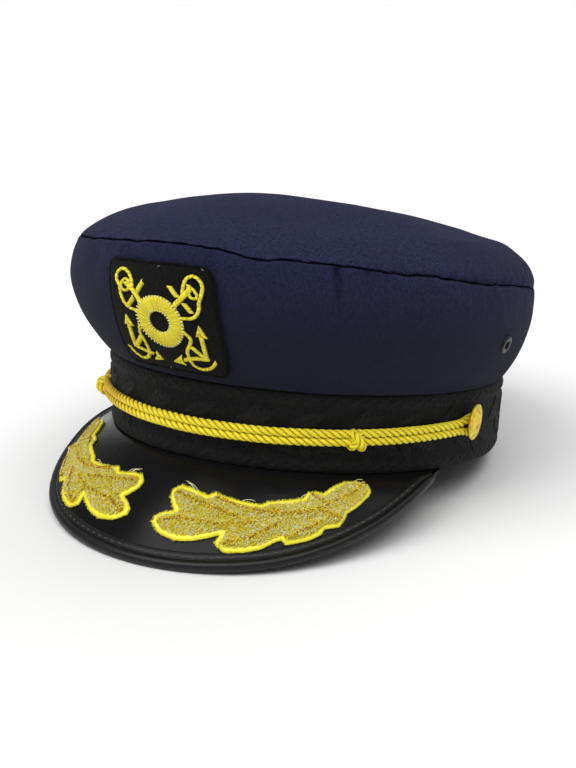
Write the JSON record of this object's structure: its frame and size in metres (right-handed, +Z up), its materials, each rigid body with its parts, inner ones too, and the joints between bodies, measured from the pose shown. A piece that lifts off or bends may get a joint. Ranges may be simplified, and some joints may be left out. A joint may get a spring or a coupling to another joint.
{
  "type": "captain hat",
  "caption": "Soft navy yachting cap with a braid-covered band, a glossy down-curved peak with leaf embroidery, a gold chin cord and an anchor badge.",
  "frame": {"origin": "on the ground under the middle of the cap's outline, as the cap rests by itself", "axes": "+Z up, the front with its peak towards -Y, the wearer's left towards +X"},
  "size_m": [0.2058, 0.2588, 0.1311],
  "materials": {
    "navy_cloth": "matt twill",
    "black_braid": "woven relief, matt",
    "black_vinyl": "gloss",
    "black_felt": "felt",
    "yellow_thread": "satin stitch",
    "gold_bullion": "metallic thread",
    "gold_cord": "twisted rayon",
    "gilt_metal": "polished",
    "dark_metal": "black nickel"
  },
  "bodies": {
    "root": {"crown_side": "navy_cloth", "crown_top": "navy_cloth", "hat_band": "black_braid", "peak": "black_vinyl", "peak_rim": "black_vinyl", "badge_patch": "black_felt", "badge_emblem": "yellow_thread", "chin_cord": "gold_cord", "cord_knot_left": "gold_cord", "cord_knot_right": "gold_cord", "oak_spray_left": "gold_bullion", "oak_spray_right": "gold_bullion", "button_left": "gilt_metal", "button_right": "gilt_metal", "eyelet_left": "dark_metal", "eyelet_right": "dark_metal"}
  },
  "joints": []
}
